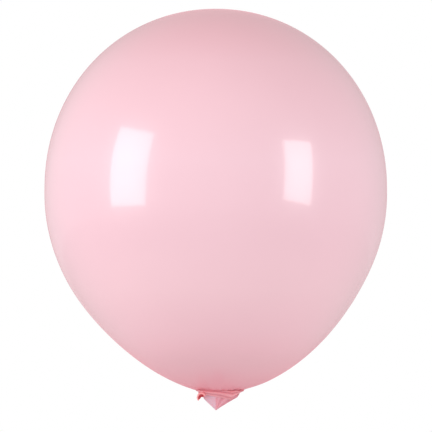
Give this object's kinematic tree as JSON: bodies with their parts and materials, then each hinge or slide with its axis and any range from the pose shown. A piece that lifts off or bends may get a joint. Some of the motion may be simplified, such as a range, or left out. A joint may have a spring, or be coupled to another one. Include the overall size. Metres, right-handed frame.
{
  "type": "latex balloon",
  "caption": "Round pink latex balloon, inflated and tied, with a rubbery knot, a folded flap and a rolled lip that flex at the neck.",
  "frame": {"origin": "the tie: the point on the balloon's own axis where the inflated film meets the knot, and where a ribbon is tied round the neck", "axes": "+Z from the tie up to the crown, along the balloon's axis; +X along the knot's width, to the right when the folded flap is in front; +Y to the back, where the tail with its rolled lip is"},
  "size_m": [0.127, 0.127, 0.1488],
  "materials": {
    "stretched_film": "smooth, stretched and glossy",
    "relaxed_film": "unstretched, satin",
    "rolled_bead": "rolled film, satin"
  },
  "bodies": {
    "balloon": {"envelope": "stretched_film", "neck_funnel": "stretched_film"},
    "neck": {"throat": "relaxed_film"},
    "knot": {"knot_wrap": "relaxed_film", "knot_bight": "relaxed_film"},
    "tail": {"tail_skirt": "relaxed_film", "rolled_lip": "rolled_bead"}
  },
  "joints": [
    {"name": "knot_sway", "type": "hinge", "parent": "balloon", "child": "neck", "pos_m": [0.0012, 0, 0], "axis": [0, 1, 0], "range_deg": [-15, 15], "stiffness_Nm_per_rad": 0.0008, "deforming": ["neck_funnel"]},
    {"name": "knot_swing", "type": "hinge", "parent": "neck", "child": "knot", "pos_m": [0.0012, 0, -0.0016], "axis": [1, 0, 0], "range_deg": [-10, 10], "stiffness_Nm_per_rad": 0.0006},
    {"name": "tail_flap", "type": "hinge", "parent": "knot", "child": "tail", "pos_m": [0.0012, 0.0025, -0.0025], "axis": [1, 0, 0], "range_deg": [-60, 6], "stiffness_Nm_per_rad": 0.0003}
  ]
}
